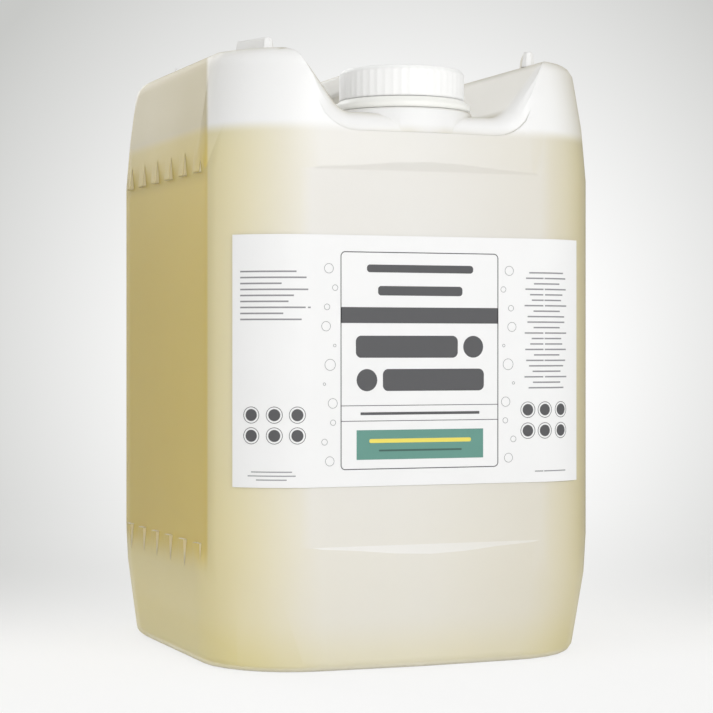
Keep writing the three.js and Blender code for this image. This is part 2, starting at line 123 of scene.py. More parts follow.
# The label's design, in millimetres along the film from its middle and above the floor
# Patches with round corners: ink, left, right, low, high, corner, width of the outline or 0 if filled
PATCHES = (
    ("dark", -56, 45, 118.7, 246.1, 3, 0.55),
    ("dark", -46.5, 18.5, 184, 197, 3.5, 0),
    ("dark", -29.5, 35.5, 164.5, 177.5, 3.5, 0),
    ("dark", -39.5, 28.5, 234, 238.6, 2, 0),
    ("dark", -32.5, 21.5, 220.5, 226.1, 2, 0),
    ("yellow", -38, 27, 134.2, 136.6, 1, 0),
    ("shade", -32, 21, 129.2, 130.3, 0.5, 0),
)
# Strips: ink, left, right, low, high
STRIPS = (
    ("dark", -56, 45, 204.3, 213.6),
    ("dark", -56, 45, 155.9, 156.3),
    ("dark", -56, 45, 146.9, 147.3),
    ("dark", -43.5, 32.5, 150.6, 152.2),
    ("green", -46, 35, 124.5, 141.8),
)
# Discs: ink, place along the film, height, radius
DISCS = (
    ("dark", 28.5, 190.5, 6.5),
    ("dark", -39.5, 171, 6.5),
)
# Groups of badges: places along the film, heights
BADGES = (
    ((-109.5, -95.7, -82.3), (151, 139)),
    ((64.6, 76.1, 88.5), (152.6, 140)),
)
BADGE_RADIUS = 3.5
BADGE_RING = 4.9
BADGE_LINE = 0.35
# Blocks of small print: left, right, low, high, number of rows, centred or not
SMALL_PRINT = (
    (-116.5, -73.3, 204.8, 236, 9, False),
    (62, 94, 164.4, 236.9, 22, True),
    (-113, -82, 112.5, 119.4, 3, True),
    (66, 96, 114.5, 117, 1, True),
)
# Columns of bubbles: edge of the frame they stand at, and the side they lie on
BUBBLE_COLUMNS = ((-56, -1), (45, 1))
BUBBLE_LOW = 124
BUBBLE_PITCH = 11.2
BUBBLE_COUNT = 11
BUBBLE_LINE = 0.28
# Share of its row that each bar of small print leaves free below and then fills
ROW_GAP = 0.3
ROW_FILL = 0.26
# Waves that vary bars and bubbles from one to the next: middle, swing, turn per count, first turn
BAR_WAVE = (0.78, 0.2, 2.4, 0)
SWAY_WAVE = (6.7, 3.4, 1.9, 0)
RADIUS_WAVE = (2.1, 1.3, 2.7, 0.6)
# Steps at which film and ink are cut so that they can bend
FILM_STEP = 3
INK_STEP = 8
SMALL_PRINT_STEP = 4


# Properties that a user would change

class ContainerLook(bpy.types.PropertyGroup):
    wall_colour: bpy.props.FloatVectorProperty(
        name="Wall colour",
        description="Colour of the natural polyethylene over air",
        default=(0.95, 0.95, 0.945),
        subtype="COLOR",
    )
    # Painted shade: the flat sides over air are darker and warmer than the wall's own colour, tinted by
    # light that passed through the soap
    air_side_colour: bpy.props.FloatVectorProperty(
        name="Air side colour",
        description="Colour of the side walls over air",
        default=(0.50, 0.425, 0.23),
        subtype="COLOR",
    )
    filled_colour: bpy.props.FloatVectorProperty(
        name="Filled colour",
        description="Colour of the front wall with soap behind it",
        default=(0.845, 0.83, 0.795),
        subtype="COLOR",
    )
    # Painted glow: corners and foot are lighter and yellower than the front, over the soap's own tint
    corner_colour: bpy.props.FloatVectorProperty(
        name="Corner colour",
        description="Colour of the turned corners and of the foot with soap behind them",
        default=(0.96, 0.86, 0.46),
        subtype="COLOR",
    )
    # Painted shade and glow: the flat side panels go deep gold over the soap's own tint
    panel_colour: bpy.props.FloatVectorProperty(
        name="Panel colour",
        description="Colour of the recessed side panels with soap behind them",
        default=(0.94, 0.73, 0.165),
        subtype="COLOR",
    )
    # Partly painted shade: the outline and the right half of the wall darken towards this colour
    rim_colour: bpy.props.FloatVectorProperty(
        name="Rim colour",
        description="Colour towards the outline, where more soap lies behind the wall",
        default=(0.45, 0.38, 0.18),
        subtype="COLOR",
    )
    front_haze: bpy.props.FloatProperty(
        name="Front haze",
        description="How much of the inside the milky wall hides where it is pale",
        default=0.9,
        subtype="FACTOR",
    )
    side_haze: bpy.props.FloatProperty(
        name="Side haze",
        description="How much of the inside the wall hides where the soap shows most",
        default=0.7,
        subtype="FACTOR",
    )
    # Painted shade on the right half of the wall, blended towards the rim colour
    right_shade: bpy.props.FloatProperty(
        name="Right shade",
        description="How much more the thicker right half of the wall is stained",
        default=0.26,
        subtype="FACTOR",
    )
    rear_shade: bpy.props.FloatProperty(
        name="Rear shade",
        description="How much darker the sides are towards the back",
        default=0.14,
        subtype="FACTOR",
    )
    edge_radius: bpy.props.FloatProperty(
        name="Edge radius",
        description="Softness of the moulded edges",
        default=0.0015,
        unit="LENGTH",
    )


class SoapLook(bpy.types.PropertyGroup):
    colour: bpy.props.FloatVectorProperty(
        name="Soap colour",
        description="Colour of the liquid in bulk",
        default=(0.87, 0.68, 0.17),
        subtype="COLOR",
    )
    depth: bpy.props.FloatProperty(
        name="Light depth",
        description="How far light travels in the liquid",
        default=0.09,
        unit="LENGTH",
    )
    surface_fade: bpy.props.FloatProperty(
        name="Surface fade",
        description="Height over which the level line blurs behind the wall",
        default=0.006,
        unit="LENGTH",
    )


class ClosureLook(bpy.types.PropertyGroup):
    cap_colour: bpy.props.FloatVectorProperty(
        name="Cap colour",
        description="Colour of the screw cap",
        default=(0.94, 0.94, 0.93),
        subtype="COLOR",
    )
    band_colour: bpy.props.FloatVectorProperty(
        name="Band colour",
        description="Colour of the tamper band",
        default=(0.91, 0.91, 0.87),
        subtype="COLOR",
    )
    edge_radius: bpy.props.FloatProperty(
        name="Edge radius",
        description="Softness of the moulded edges",
        default=0.0024,
        unit="LENGTH",
    )


class LabelLook(bpy.types.PropertyGroup):
    film_colour: bpy.props.FloatVectorProperty(
        name="Film colour",
        description="White of the label film",
        default=(0.88, 0.88, 0.88),
        subtype="COLOR",
    )
    ink_colour: bpy.props.FloatVectorProperty(
        name="Ink colour",
        description="Dark grey ink",
        default=(0.085, 0.085, 0.09),
        subtype="COLOR",
    )
    pale_ink_colour: bpy.props.FloatVectorProperty(
        name="Pale ink colour",
        description="Mid grey ink of the fine lines",
        default=(0.28, 0.28, 0.29),
        subtype="COLOR",
    )
    accent_colour: bpy.props.FloatVectorProperty(
        name="Accent colour",
        description="Green of the scent field",
        default=(0.12, 0.30, 0.25),
        subtype="COLOR",
    )
    spark_colour: bpy.props.FloatVectorProperty(
        name="Spark colour",
        description="Yellow of the line in the scent field",
        default=(0.85, 0.72, 0.12),
        subtype="COLOR",
    )
    left_wrap: bpy.props.FloatProperty(
        name="Left wrap",
        description="Turn of the label round the left corner",
        default=math.radians(52),
        subtype="ANGLE",
    )
    right_wrap: bpy.props.FloatProperty(
        name="Right wrap",
        description="Turn of the label round the right corner",
        default=math.radians(36),
        subtype="ANGLE",
    )
    film_thickness: bpy.props.FloatProperty(
        name="Film thickness",
        description="Thickness of the label film",
        default=0.00035,
        unit="LENGTH",
    )
    ink_lift: bpy.props.FloatProperty(
        name="Ink lift",
        description="Thickness of one layer of ink",
        default=0.00006,
        unit="LENGTH",
    )


class StudioLook(bpy.types.PropertyGroup):
    lens: bpy.props.FloatProperty(
        name="Lens",
        description="Focal length on a 36 mm sensor, in millimetres",
        default=106.97,
    )
    camera_place: bpy.props.FloatVectorProperty(
        name="Camera place",
        description="Where the camera stands",
        default=(-0.4939, -1.2830, 0.190),
        subtype="TRANSLATION",
    )
    heading: bpy.props.FloatProperty(
        name="Heading",
        description="Turn of the camera to the right of the pack's front",
        default=math.radians(21.27),
        subtype="ANGLE",
    )
    rise: bpy.props.FloatProperty(
        name="Rise",
        description="Vertical shift of the picture, as a share of its width",
        default=-0.0125,
    )
    key_power: bpy.props.FloatProperty(
        name="Key power",
        description="Power of the front softbox",
        default=28.3,
        unit="POWER",
    )
    back_power: bpy.props.FloatProperty(
        name="Back power",
        description="Power of the softbox behind the pack",
        default=15.0,
        unit="POWER",
    )
    sky: bpy.props.FloatProperty(
        name="Sky",
        description="Strength of the even light from all round",
        default=0.64,
    )
    floor_colour: bpy.props.FloatVectorProperty(
        name="Floor colour",
        description="Colour of the floor and backdrop",
        default=(0.94, 0.94, 0.935),
        subtype="COLOR",
    )
    backdrop_colour: bpy.props.FloatVectorProperty(
        name="Backdrop colour",
        description="What the camera sees of the backdrop behind the pack and of the floor",
        default=(0.99, 0.99, 0.985),
        subtype="COLOR",
    )
    backdrop_shade: bpy.props.FloatVectorProperty(
        name="Backdrop shade",
        description="What the camera sees of the backdrop far out",
        default=(0.58, 0.585, 0.57),
        subtype="COLOR",
    )
    glow_right: bpy.props.FloatProperty(
        name="Glow place",
        description="How far right of the view's axis the glow lies, as a share of the distance",
        default=0.016,
    )
    glow_reach: bpy.props.FloatProperty(
        name="Glow reach",
        description="Where the glow has faded, as a share of the distance",
        default=0.235,
    )
    floor_evenness: bpy.props.FloatProperty(
        name="Floor evenness",
        description="How far the floor under the pack is freed from its shadows",
        default=0.8,
        subtype="FACTOR",
    )


# Node helpers

def linked(tree, output, target):
    tree.links.new(output, target)


def new_material(name):
    material = bpy.data.materials.new(name)
    material.use_nodes = True
    return material, material.node_tree, material.node_tree.nodes["Principled BSDF"]


def grain_group():
    """Moulding grain: a slow mottle and a fine height from the piece's own coordinates."""
    found = bpy.data.node_groups.get("moulding_grain")
    if found:
        return found
    group = bpy.data.node_groups.new("moulding_grain", "ShaderNodeTree")
    face = group.interface
    face.new_socket("Mottle Scale", in_out="INPUT", socket_type="NodeSocketFloat")
    face.new_socket("Grain Scale", in_out="INPUT", socket_type="NodeSocketFloat")
    face.new_socket("Mottle", in_out="OUTPUT", socket_type="NodeSocketFloat")
    face.new_socket("Height", in_out="OUTPUT", socket_type="NodeSocketFloat")
    start = group.nodes.new("NodeGroupInput")
    end = group.nodes.new("NodeGroupOutput")
    place = group.nodes.new("ShaderNodeTexCoord")
    mottle = group.nodes.new("ShaderNodeTexNoise")
    mottle.inputs["Detail"].default_value = 3
    grain = group.nodes.new("ShaderNodeTexNoise")
    grain.inputs["Detail"].default_value = 2
    for noise, scale in ((mottle, "Mottle Scale"), (grain, "Grain Scale")):
        linked(group, place.outputs["Object"], noise.inputs["Vector"])
        linked(group, start.outputs[scale], noise.inputs["Scale"])
    linked(group, mottle.outputs["Fac"], end.inputs["Mottle"])
    linked(group, grain.outputs["Fac"], end.inputs["Height"])
    return group


def add_grain(tree, mottle_scale, grain_scale):
    node = tree.nodes.new("ShaderNodeGroup")
    node.node_tree = grain_group()
    node.inputs["Mottle Scale"].default_value = mottle_scale
    node.inputs["Grain Scale"].default_value = grain_scale
    return node


def spread(tree, value, low, high):
    """value from 0 to 1 mapped to low to high."""
    node = tree.nodes.new("ShaderNodeMapRange")
    node.inputs["To Min"].default_value = low
    node.inputs["To Max"].default_value = high
    linked(tree, value, node.inputs["Value"])
    return node.outputs["Result"]


def soft_step(tree, value, start, end, first=0.0, last=1.0):
    """first up to start, last from end on, and a smooth bend between them."""
    node = tree.nodes.new("ShaderNodeMapRange")
    node.interpolation_type = "SMOOTHSTEP"
    for name, amount in (("From Min", start), ("From Max", end), ("To Min", first), ("To Max", last)):
        node.inputs[name].default_value = amount
    linked(tree, value, node.inputs["Value"])
    return node.outputs["Result"]


def maths(tree, operation, first, second=0.0):
    node = tree.nodes.new("ShaderNodeMath")
    node.operation = operation
    for value, socket in zip((first, second), node.inputs):
        if isinstance(value, bpy.types.NodeSocket):
            linked(tree, value, socket)
        else:
            socket.default_value = value
    return node.outputs["Value"]


def tinted(tree, fac, first, second):
    """Blend of two colours, each a tuple or the output of a node."""
    node = tree.nodes.new("ShaderNodeMix")
    node.data_type = "RGBA"
    for value, socket in ((first, node.inputs[6]), (second, node.inputs[7])):
        if isinstance(value, bpy.types.NodeSocket):
            linked(tree, value, socket)
        else:
            socket.default_value = (*value, 1)
    linked(tree, fac, node.inputs["Factor"])
    return node.outputs[2]


def shaded(colour, share):
    return tuple(channel * share for channel in colour)


def mottled(tree, grain, low, high):
    """A value that wanders from low to high with the slow mottle."""
    return spread(tree, grain.outputs["Mottle"], low, high)


def mottled_colour(tree, grain, colour, darkest=0.97):
    """A colour that the slow mottle darkens a little."""
    return tinted(tree, grain.outputs["Mottle"], shaded(colour, darkest), colour)


def add_bump(tree, shader, grain, strength, distance):
    """Fine bump from the moulding grain."""
    bump = tree.nodes.new("ShaderNodeBump")
    bump.inputs["Strength"].default_value = strength
    bump.inputs["Distance"].default_value = distance
    linked(tree, grain.outputs["Height"], bump.inputs["Height"])
    linked(tree, bump.outputs["Normal"], shader.inputs["Normal"])
    return bump


def round_edges(tree, bump, radius):
    """Lays the bump over a normal that rounds the edges."""
    edge = tree.nodes.new("ShaderNodeBevel")
    edge.samples = 6
    edge.inputs["Radius"].default_value = radius
    linked(tree, edge.outputs["Normal"], bump.inputs["Normal"])


def tint_and_glow_group(look):
    """Colour of the wall from its own place and normal: the soap's tint, with painted glow on corners,
    sides and foot, painted shade on the sides, the right half and towards the back, and a painted
    highlight on faces that look up.
    """
    group = bpy.data.node_groups.new("soap_stain", "ShaderNodeTree")
    face = group.interface
    face.new_socket("Clouds", in_out="INPUT", socket_type="NodeSocketFloat")
    face.new_socket("Colour", in_out="OUTPUT", socket_type="NodeSocketColor")
    face.new_socket("Stain", in_out="OUTPUT", socket_type="NodeSocketFloat")
    face.new_socket("Rim", in_out="OUTPUT", socket_type="NodeSocketFloat")
    start = group.nodes.new("NodeGroupInput")
    end = group.nodes.new("NodeGroupOutput")
    place = group.nodes.new("ShaderNodeTexCoord")
    spot = group.nodes.new("ShaderNodeSeparateXYZ")
    linked(group, place.outputs["Object"], spot.inputs["Vector"])
    normal = group.nodes.new("ShaderNodeSeparateXYZ")
    linked(group, place.outputs["Normal"], normal.inputs["Vector"])
    right, rear, height = spot.outputs
    across = maths(group, "ABSOLUTE", normal.outputs["X"])

    def step(name, value, *ends):
        return soft_step(group, value, *WALL_STEPS[name], *ends)

    def times(first, second):
        return maths(group, "MULTIPLY", first, second)

    def plus(first, second):
        return maths(group, "ADD", first, second)

    sideways = times(maths(group, "ABSOLUTE", right), SLANT_X)
    endways = times(maths(group, "ABSOLUTE", rear), SLANT_Y)
    flat_side = step("flat_side", plus(sideways, endways))
    filled = step("filled", height)
    far_right = step("far_right", right)

    # Painted glow: faces turned sideways and the lowest wall take the corner colour, over the soap's own
    # tint
    turned = times(maths(group, "POWER", across, TURN_CURVE), TURN_TINT_AND_GLOW)
    low = plus(step("low_wall", height), step("base_edge", height))
    tint_and_glow = plus(plus(turned, low), start.outputs["Clouds"])
    tint_and_glow.node.use_clamp = True
    # Painted shade and glow: the flat sides above the foot go deep gold over the soap's tint, less on rib
    # faces that look forward
    panel = times(times(step("above_foot", height), flat_side), step("rib_flank", across))
    over_soap = tinted(group, tint_and_glow, look.filled_colour, look.corner_colour)
    over_soap = tinted(group, panel, over_soap, look.panel_colour)
    # Painted highlight: faces that look up are paler, towards the wall's own colour
    over_soap = tinted(group, step("ledge", normal.outputs["Z"]), over_soap, look.wall_colour)

    # Painted shade: the flat sides over air take the darker, warmer side colour
    air_side = times(flat_side, step("top_fillet", across))
    over_air = tinted(group, air_side, look.wall_colour, look.air_side_colour)

    # Painted shade: the right half over soap, and the far right also over air, is blended towards the rim
    # colour
    shadowed = step("right_half", right, 0.0, look.right_shade)
    shadowed = times(shadowed, maths(group, "MAXIMUM", filled, far_right))
    # Painted shade: the flat side panels darken towards the back, and above the panels' top edge up to the
    # soap's level
    rearward = times(step("rear_half", rear, 0.0, look.rear_shade), panel)
    ramp = times(times(step("panel_ramp", height), panel), filled)
    colour = tinted(group, filled, over_air, over_soap)
    colour = tinted(group, shadowed, colour, look.rim_colour)
    colour = tinted(group, plus(rearward, ramp), colour, (0, 0, 0))
    linked(group, colour, end.inputs["Colour"])

    shown = times(tint_and_glow, filled)
    linked(group, shown, end.inputs["Stain"])
    rim = times(spread(group, shown, RIM_OVER_AIR, RIM_OVER_SOAP), step("foot_rim", height))
    rim = times(rim, spread(group, times(far_right, shown), 1.0, RIM_FAR_RIGHT))
    linked(group, rim, end.inputs["Rim"])
    return group


# Materials

def wall_material(look):
    """Outer skin: milky, satin polyethylene that lets the soap show, with painted glow and shade in its
    colour.
    """
    material, tree, shader = new_material("milky_polyethylene")
    grain = add_grain(tree, mottle_scale=9, grain_scale=900)
    coloured = tree.nodes.new("ShaderNodeGroup")
    coloured.node_tree = tint_and_glow_group(look)
    linked(tree, mottled(tree, grain, -0.07, 0.07), coloured.inputs["Clouds"])
    # Darker towards the outline as seen: partly the longer path through the soap, partly painted shade
    outline = tree.nodes.new("ShaderNodeLayerWeight")
    outline.inputs["Blend"].default_value = 0.5
    rim = maths(tree, "POWER", outline.outputs["Facing"], RIM_CURVE)
    rim = maths(tree, "MULTIPLY", rim, coloured.outputs["Rim"])
    colour = tinted(tree, rim, coloured.outputs["Colour"], look.rim_colour)
    linked(tree, colour, shader.inputs["Base Color"])
    linked(tree, mottled(tree, grain, 0.34, 0.46), shader.inputs["Roughness"])
    haze = spread(tree, coloured.outputs["Stain"], look.front_haze, look.side_haze)
    linked(tree, haze, shader.inputs["Alpha"])
    bump = add_bump(tree, shader, grain, strength=0.12, distance=0.0003)
    round_edges(tree, bump, look.edge_radius)
    return material


def inner_wall_material(look):
    """Inside of the wall: adds only a little haze."""
    material, tree, shader = new_material("inner_polyethylene")
    grain = add_grain(tree, mottle_scale=9, grain_scale=900)
    linked(tree, mottled(tree, grain, 0.12, 0.18), shader.inputs["Alpha"])
    shader.inputs["Base Color"].default_value = (*look.wall_colour, 1)
    shader.inputs["Roughness"].default_value = 0.6
    shader.inputs["Specular IOR Level"].default_value = 0.1
    return material


def soap_material(look):
    material, tree, shader = new_material("liquid_soap")
    grain = add_grain(tree, mottle_scale=5, grain_scale=60)
    linked(tree, mottled_colour(tree, grain, look.colour, 0.94), shader.inputs["Base Color"])
    shader.inputs["Subsurface Weight"].default_value = 1.0
    shader.inputs["Subsurface Radius"].default_value = (1.0, 0.75, 0.3)
    shader.inputs["Subsurface Scale"].default_value = look.depth
    shader.inputs["Roughness"].default_value = 0.35
    shader.inputs["Specular IOR Level"].default_value = 0.2
    place = tree.nodes.new("ShaderNodeTexCoord")
    axes = tree.nodes.new("ShaderNodeSeparateXYZ")
    linked(tree, place.outputs["Object"], axes.inputs["Vector"])
    fade = soft_step(tree, axes.outputs["Z"], soap_high.z - look.surface_fade, soap_high.z, 1.0, 0.15)
    linked(tree, fade, shader.inputs["Alpha"])
    return material


def closure_material(name, colour, edge_radius, roughness=0.38):
    material, tree, shader = new_material(name)
    grain = add_grain(tree, mottle_scale=25, grain_scale=1500)
    linked(tree, mottled_colour(tree, grain, colour), shader.inputs["Base Color"])
    linked(tree, mottled(tree, grain, roughness - 0.05, roughness + 0.05), shader.inputs["Roughness"])
    bump = add_bump(tree, shader, grain, strength=0.15, distance=0.0002)
    round_edges(tree, bump, edge_radius)
    return material


def film_material(name, colour, roughness):
    """Label film or ink on it."""
    material, tree, shader = new_material(name)
    grain = add_grain(tree, mottle_scale=40, grain_scale=2500)
    linked(tree, mottled_colour(tree, grain, colour), shader.inputs["Base Color"])
    linked(tree, mottled(tree, grain, roughness - 0.04, roughness + 0.04), shader.inputs["Roughness"])
    add_bump(tree, shader, grain, strength=0.08, distance=0.0001)
    return material


# Mesh helpers

def is_flat_field(face):
    """A large face of a recessed panel or of the flat sides above it."""
    squarely = max(map(abs, face.normal)) > SQUARE_ON or abs(face.normal.x) > NEARLY_SIDEWAYS
    return squarely and face.calc_area() > FLAT_FIELD_AREA


def crosses_panel_edge(edge):
    """True where a flat field meets the turned corner of the body."""
    fields = [face for face in edge.link_faces if is_flat_field(face)]
    highest = max(vert.co.z for vert in edge.verts)
    on_panel = len(fields) == 1 and highest < PANEL_TOP + 5 * MM
    return on_panel and edge.calc_face_angle(0) > PANEL_CREASE_ANGLE


def merged_copy(node_name, piece_name):
    """A copy of a node's solid with whole faces, smooth where it is round and creased where it isn't."""
    bm = bmesh.new()
    bm.from_mesh(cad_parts[node_name].data)
    bmesh.ops.remove_doubles(bm, verts=bm.verts, dist=WELD_DISTANCE)
    bmesh.ops.dissolve_limit(bm, angle_limit=FLAT_ANGLE, verts=bm.verts, edges=bm.edges)
    for face in bm.faces:
        face.smooth = True
        face.material_index = 0
    for edge in bm.edges:
        turned = edge.calc_face_angle(0) > CREASE_ANGLE
        edge.smooth = not (turned or crosses_panel_edge(edge))
    return mesh_object(bm, piece_name)


def mesh_object(bm, name):
    mesh = bpy.data.meshes.new(name)
    bm.to_mesh(mesh)
    bm.free()
    old_normals = mesh.attributes.get("custom_normal")
    if old_normals:
        mesh.attributes.remove(old_normals)
    piece = bpy.data.objects.new(name, mesh)
    bpy.context.scene.collection.objects.link(piece)
    return piece


def even_normals(piece):
    """Large flat faces keep their own normal, and the small faces between them take up the bend."""
    modifier = piece.modifiers.new("even_normals", "WEIGHTED_NORMAL")
    modifier.keep_sharp = True


def mark_inside(piece, lip_z):
    """Gives the second material to the faces of the cavity, from its floor up to the neck's lip."""
    bm = bmesh.new()
    bm.from_mesh(piece.data)
    bm.faces.ensure_lookup_table()
    below = [
        face for face in bm.faces
        if face.normal.z > FACING_UP and face.calc_center_median().z < CAVITY_FLOOR_TOP
    ]
    waiting = [max(below, key=lambda face: face.calc_area())]
    inside = set(waiting)
    while waiting:
        face = waiting.pop()
        for edge in face.edges:
            if min(vert.co.z for vert in edge.verts) > lip_z:
                continue
            for near in edge.link_faces:
                if near not in inside:
                    inside.add(near)
                    waiting.append(near)
    for face in inside:
        face.material_index = 1
    bm.to_mesh(piece.data)
    bm.free()
    return len(inside)


def dress(piece, body, slot, *nodes):
    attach(piece, body)
    if nodes:
        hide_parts(*nodes)


# Label: the flat front with a round corner at each end, measured along the film

def in_metres(sizes):
    return [size * MM for size in sizes]


class Wrap:
    def __init__(self, look):
        left = math.sin(look.left_wrap)
        right = math.sin(look.right_wrap)
        self.reach = (-label_low.x - label_high.x) / (left - right)
        self.corner_x = label_high.x - self.reach * right
        self.corner_y = -label_high.y - (self.reach - look.film_thickness) * math.cos(look.left_wrap)
        self.flat_y = label_low.y
        self.meet = math.acos((-self.flat_y - self.corner_y) / self.reach)
        self.flat_half = self.corner_x + self.reach * math.sin(self.meet)
        self.left_end = -self.flat_half - self.reach * (look.left_wrap - self.meet)
        self.right_end = self.flat_half + self.reach * (look.right_wrap - self.meet)

    def place(self, along, height, lift):
        """Point at a distance along the film from the middle, at a height above the floor."""
        side = 1 if along > 0 else -1
        past = abs(along) - self.flat_half
        if past <= 0:
            return Vector((along, self.flat_y - lift, height))
        angle = self.meet + past / self.reach
        reach = self.reach + lift
        x = side * (self.corner_x + reach * math.sin(angle))
        return Vector((x, -(self.corner_y + reach * math.cos(angle)), height))


def add_strip(bm, left, right, low, high, step):
    """Flat rectangle in film coordinates, cut across every step so that it can bend."""
    columns = max(1, math.ceil((right - left) / step))
    middle = Vector(((left + right) / 2, (low + high) / 2, 0))
    size = Matrix.Diagonal(((right - left) / 2, (high - low) / 2, 1, 1))
    matrix = Matrix.Translation(middle) @ size
    bmesh.ops.create_grid(bm, x_segments=columns, y_segments=1, size=1, matrix=matrix)


def add_round_patch(bm, left, right, low, high, corner, line=0.0):
    """Rectangle with round corners in film coordinates, or only its outline of width line."""
    middle = Vector(((left + right) / 2, (low + high) / 2, 0))
    made = bmesh.ops.create_circle(bm, cap_ends=False, segments=32, radius=corner)
    push_x = (right - left) / 2 - corner
    push_y = (high - low) / 2 - corner
    for vert in made["verts"]:
        vert.co.x += math.copysign(push_x, vert.co.x + 1e-7)
        vert.co.y += math.copysign(push_y, vert.co.y + 1e-7)
        vert.co += middle
    edges = {edge for vert in made["verts"] for edge in vert.link_edges}
    face = bmesh.ops.contextual_create(bm, geom=list(edges))["faces"][0]
    if line:
        bmesh.ops.inset_individual(bm, faces=[face], thickness=line)
        bmesh.ops.delete(bm, geom=[face], context="FACES_ONLY")


def add_disc(bm, along, height, radius, line=0.0):
    """Disc in film coordinates, or only its ring of width line."""
    at = Matrix.Translation((along, height, 0))
    corners = 28
    outer = bmesh.ops.create_circle(
        bm, cap_ends=not line, cap_tris=True, segments=corners, radius=radius, matrix=at
    )
    if line:
        inner = bmesh.ops.create_circle(
            bm, cap_ends=False, segments=corners, radius=radius - line, matrix=at
        )
        edges = {edge for vert in outer["verts"] + inner["verts"] for edge in vert.link_edges}
        bmesh.ops.bridge_loops(bm, edges=list(edges))


def wrapped_piece(bm, name, wrap, lift, thickness, material):
    """Lays what was drawn in film coordinates on the label and gives it its thickness outwards."""
    for vert in bm.verts:
        vert.co = wrap.place(vert.co.x, vert.co.y, lift)
    bmesh.ops.recalc_face_normals(bm, faces=bm.faces)
    for face in bm.faces:
        face.smooth = True
        outward = Vector((face.calc_center_median().x * 0.2, -1, 0))
        if face.normal.dot(outward) < 0:
            face.normal_flip()
    bmesh.ops.solidify(bm, geom=bm.faces[:], thickness=-thickness)
    bm.normal_update()
    for edge in bm.edges:
        edge.smooth = edge.calc_face_angle(0) < CREASE_ANGLE
    piece = mesh_object(bm, name)
    piece.data.materials.append(material)
    dress(piece, "container", "front_label")
    return piece


# Operators

class REFILL_OT_container(bpy.types.Operator):
    """Builds the milky container round the soap"""

    bl_idname = "refill.container"
    bl_label = "Container"

    def execute(self, context):
        look = context.scene.refill_container
        piece = merged_copy("container_shell", "container_body")
        piece.data.materials.append(wall_material(look))
        piece.data.materials.append(inner_wall_material(look))
        if not mark_inside(piece, liner_low.z - 0.5 * MM):
            raise RuntimeError("the container has no cavity")
        even_normals(piece)
        dress(piece, "container", "container_shell", "container_shell")
        return {"FINISHED"}


class REFILL_OT_soap(bpy.types.Operator):
    """Fills the container with liquid soap"""

    bl_idname = "refill.soap"
    bl_label = "Soap"

    def execute(self, context):
        piece = merged_copy("hand_soap", "soap_fill")
        piece.data.materials.append(soap_material(context.scene.refill_soap))
        even_normals(piece)
        dress(piece, "container", "hand_soap", "hand_soap")
        return {"FINISHED"}


class REFILL_OT_closure(bpy.types.Operator):
    """Finishes the screw cap, its liner and the tamper band"""

    bl_idname = "refill.closure"
    bl_label = "Cap, liner and band"

    def execute(self, context):
        look = context.scene.refill_closure
        cap = merged_copy("screw_cap", "cap")
        cap.data.materials.append(closure_material("cap_plastic", look.cap_colour, look.edge_radius))
        even_normals(cap)
        dress(cap, "cap", "screw_cap", "screw_cap")
        band = merged_copy("tamper_band", "band")
        band.data.materials.append(closure_material("band_plastic", look.band_colour, look.edge_radius))
        even_normals(band)
        dress(band, "container", "tamper_band", "tamper_band")
        liner = merged_copy("cap_liner", "liner")
        liner.data.materials.append(closure_material("foam", FOAM_COLOUR, look.edge_radius, roughness=0.8))
        even_normals(liner)
        dress(liner, "lift", "cap_liner", "cap_liner")
        return {"FINISHED"}


class REFILL_OT_label(bpy.types.Operator):
    """Wraps the white label film round the front"""

    bl_idname = "refill.label"
    bl_label = "Label film"

    def execute(self, context):
        look = context.scene.refill_label
        wrap = Wrap(look)
        bm = bmesh.new()
        add_strip(bm, wrap.left_end, wrap.right_end, label_low.z, label_high.z, FILM_STEP * MM)
        material = film_material("label_film", look.film_colour, roughness=0.42)
        piece = wrapped_piece(bm, "label_film", wrap, -look.film_thickness, look.film_thickness, material)
        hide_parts("front_label")
        return {"FINISHED"}


def draw_fields(inks):
    """Frame, bars, bands and discs from the design's tables."""
    for ink, *sizes in PATCHES:
        add_round_patch(inks[ink], *in_metres(sizes))
    for ink, *sizes in STRIPS:
        add_strip(inks[ink], *in_metres(sizes), INK_STEP * MM)
    for ink, *sizes in DISCS:
        add_disc(inks[ink], *in_metres(sizes))


def wave(count, middle, swing, turn, first):
    return middle + swing * math.sin(count * turn + first)


def draw_small_print(pale, left, right, low, high, rows, centred):
    """Rows of thin bars in place of small print, each a little shorter or longer than the last."""
    pitch = (high - low) / rows
    width = right - left
    for row in range(rows):
        share = wave(row, *BAR_WAVE)
        bottom = high - (row + 1) * pitch + pitch * ROW_GAP
        start = left + (width * (1 - share) / 2 if centred else 0)
        top = bottom + pitch * ROW_FILL
        add_strip(pale, start, start + width * share, bottom, top, SMALL_PRINT_STEP * MM)


def draw_badges(ink, columns, rows):
    """Plain discs, each in a thin ring."""
    for along in columns:
        for height in rows:
            add_disc(ink, *in_metres((along, height, BADGE_RADIUS)))
            add_disc(ink, *in_metres((along, height, BADGE_RING, BADGE_LINE)))


def draw_bubbles(pale, edge, side):
    """A loose column of soap bubbles beside the frame."""
    for count in range(BUBBLE_COUNT):
        height = BUBBLE_LOW + BUBBLE_PITCH * count
        along = edge + side * wave(count, *SWAY_WAVE)
        radius = wave(count, *RADIUS_WAVE)
        add_disc(pale, *in_metres((along, height, radius, BUBBLE_LINE)))


